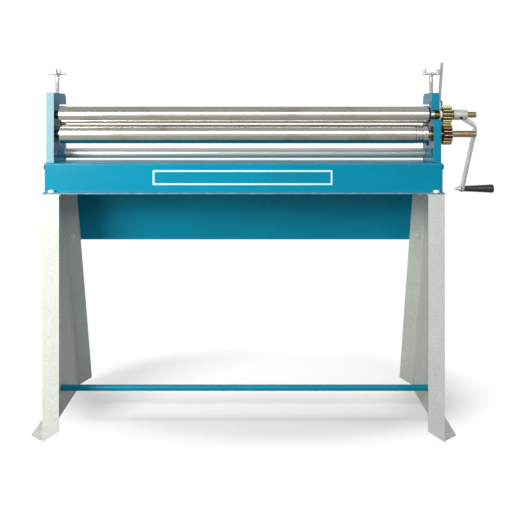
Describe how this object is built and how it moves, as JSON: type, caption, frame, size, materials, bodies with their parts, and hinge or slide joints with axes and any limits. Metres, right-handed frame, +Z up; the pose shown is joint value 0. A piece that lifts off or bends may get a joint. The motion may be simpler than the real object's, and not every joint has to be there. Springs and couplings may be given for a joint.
{
  "type": "slip roll machine",
  "caption": "Hand-cranked slip roll: geared pinch rolls and a screw-adjusted rear roll between end frames, over a folded bed on splayed sheet legs.",
  "frame": {"origin": "bottom centre of the bounds, on the floor under the stand", "axes": "+X to the operator's right, towards the crank; +Y away from the operator; +Z up"},
  "size_m": [1.6274, 0.546, 1.2617],
  "materials": {
    "blue_paint": "gloss",
    "leg_paint": "satin",
    "ground_steel": "satin",
    "satin_steel": "satin",
    "bronze": "satin",
    "zinc": "satin",
    "pale_zinc": "satin",
    "lever_grey": "satin",
    "black_steel": "satin",
    "grip": "satin",
    "nylon": "satin"
  },
  "bodies": {
    "machine": {"left_leg": "leg_paint", "right_leg": "leg_paint", "rear_panel": "blue_paint", "tie_rod": "blue_paint", "bed_channel": "blue_paint", "left_end_plate": "blue_paint", "right_end_plate": "blue_paint", "left_end_frame": "blue_paint", "right_end_frame": "blue_paint", "tie_bar": "satin_steel", "left_tie_rod_bolt": "zinc", "right_tie_rod_bolt": "zinc", "left_lower_panel_bolt": "zinc", "right_lower_panel_bolt": "zinc", "left_upper_panel_bolt": "zinc", "right_upper_panel_bolt": "zinc", "left_front_bed_bolt": "zinc", "right_front_bed_bolt": "zinc", "left_rear_bed_bolt": "zinc", "right_rear_bed_bolt": "zinc", "left_front_bed_nut": "zinc", "right_front_bed_nut": "zinc", "left_rear_bed_nut": "zinc", "right_rear_bed_nut": "zinc", "left_tie_bar_bolt": "zinc", "right_tie_bar_bolt": "zinc", "left_front_frame_screw": "black_steel", "right_front_frame_screw": "black_steel", "left_rear_frame_screw": "black_steel", "right_rear_frame_screw": "black_steel", "lever_pivot_bolt": "black_steel"},
    "top_roll_bearings": {"left_swivel_block": "black_steel", "right_top_bush": "bronze", "nylon_bush": "nylon"},
    "top_roll_and_crank": {"top_roll": "ground_steel", "upper_gear": "bronze", "crank_hub": "pale_zinc", "crank_arm": "zinc", "hub_set_screw": "black_steel", "grip_spindle": "zinc", "grip_nut": "zinc"},
    "crank_grip": {"grip": "grip"},
    "lever": {"release_lever": "lever_grey"},
    "lower_bearings": {"left_lower_block": "black_steel", "right_lower_block": "black_steel"},
    "lower_roll_and_gear": {"lower_roll": "ground_steel", "lower_gear": "bronze"},
    "left_pinch": {"left_pinch_screw": "black_steel"},
    "right_pinch": {"right_pinch_screw": "black_steel"},
    "rear_bearings": {"left_rear_block": "black_steel", "right_rear_block": "black_steel"},
    "rear_roll_body": {"rear_roll": "ground_steel"},
    "left_adjuster": {"left_adjusting_screw": "pale_zinc", "left_screw_handle": "pale_zinc"},
    "right_adjuster": {"right_adjusting_screw": "pale_zinc", "right_screw_handle": "pale_zinc"}
  },
  "joints": [
    {"name": "top_roll_swing", "type": "hinge", "parent": "machine", "child": "top_roll_bearings", "pos_m": [-0.75015, -0.193, 1.0825], "axis": [0, 0, -1], "range_deg": [0, 8]},
    {"name": "crank_turn", "type": "hinge", "parent": "top_roll_bearings", "child": "top_roll_and_crank", "pos_m": [-0.09765, -0.193, 1.0825], "axis": [1, 0, 0], "continuous": true},
    {"name": "grip_spin", "type": "hinge", "parent": "top_roll_and_crank", "child": "crank_grip", "pos_m": [0.75235, 0.01364, 0.81124], "axis": [1, 0, 0], "continuous": true},
    {"name": "release_lever_turn", "type": "hinge", "parent": "machine", "child": "lever", "pos_m": [0.57135, -0.175, 1.122], "axis": [1, 0, 0], "range_deg": [0, 75]},
    {"name": "pinch_height", "type": "slide", "parent": "machine", "child": "lower_bearings", "axis": [0, 0, 1], "range_m": [-0.003, 0.0045]},
    {"name": "lower_roll_turn", "type": "hinge", "parent": "lower_bearings", "child": "lower_roll_and_gear", "pos_m": [-0.09765, -0.193, 1.017], "axis": [1, 0, 0], "continuous": true},
    {"name": "left_pinch_screw_turn", "type": "hinge", "parent": "lower_bearings", "child": "left_pinch", "pos_m": [-0.75015, -0.193, 1.017], "axis": [0, 0, 1], "range_deg": [-720.2, 1080.2]},
    {"name": "right_pinch_screw_turn", "type": "hinge", "parent": "lower_bearings", "child": "right_pinch", "pos_m": [0.55485, -0.193, 1.017], "axis": [0, 0, 1], "range_deg": [-720.2, 1080.2]},
    {"name": "rear_roll_height", "type": "slide", "parent": "machine", "child": "rear_bearings", "axis": [0, 0, 1], "range_m": [-0.02, 0.045]},
    {"name": "rear_roll_turn", "type": "hinge", "parent": "rear_bearings", "child": "rear_roll_body", "pos_m": [-0.09765, -0.125, 1.016], "axis": [1, 0, 0], "continuous": true},
    {"name": "left_adjuster_turn", "type": "hinge", "parent": "rear_bearings", "child": "left_adjuster", "pos_m": [-0.75015, -0.125, 1.157], "axis": [0, 0, 1], "range_deg": [-1440.2, 3240.2]},
    {"name": "right_adjuster_turn", "type": "hinge", "parent": "rear_bearings", "child": "right_adjuster", "pos_m": [0.55485, -0.125, 1.157], "axis": [0, 0, 1], "range_deg": [-1440.2, 3240.2]}
  ],
  "couplings": [
    {"joint": "lower_roll_turn", "follows": "crank_turn", "ratio": -0.88235},
    {"joint": "left_pinch_screw_turn", "follows": "pinch_height", "rad_per_m": 4188.8},
    {"joint": "right_pinch_screw_turn", "follows": "pinch_height", "rad_per_m": 4188.8},
    {"joint": "left_adjuster_turn", "follows": "rear_roll_height", "rad_per_m": 1256.6},
    {"joint": "right_adjuster_turn", "follows": "rear_roll_height", "rad_per_m": 1256.6}
  ]
}
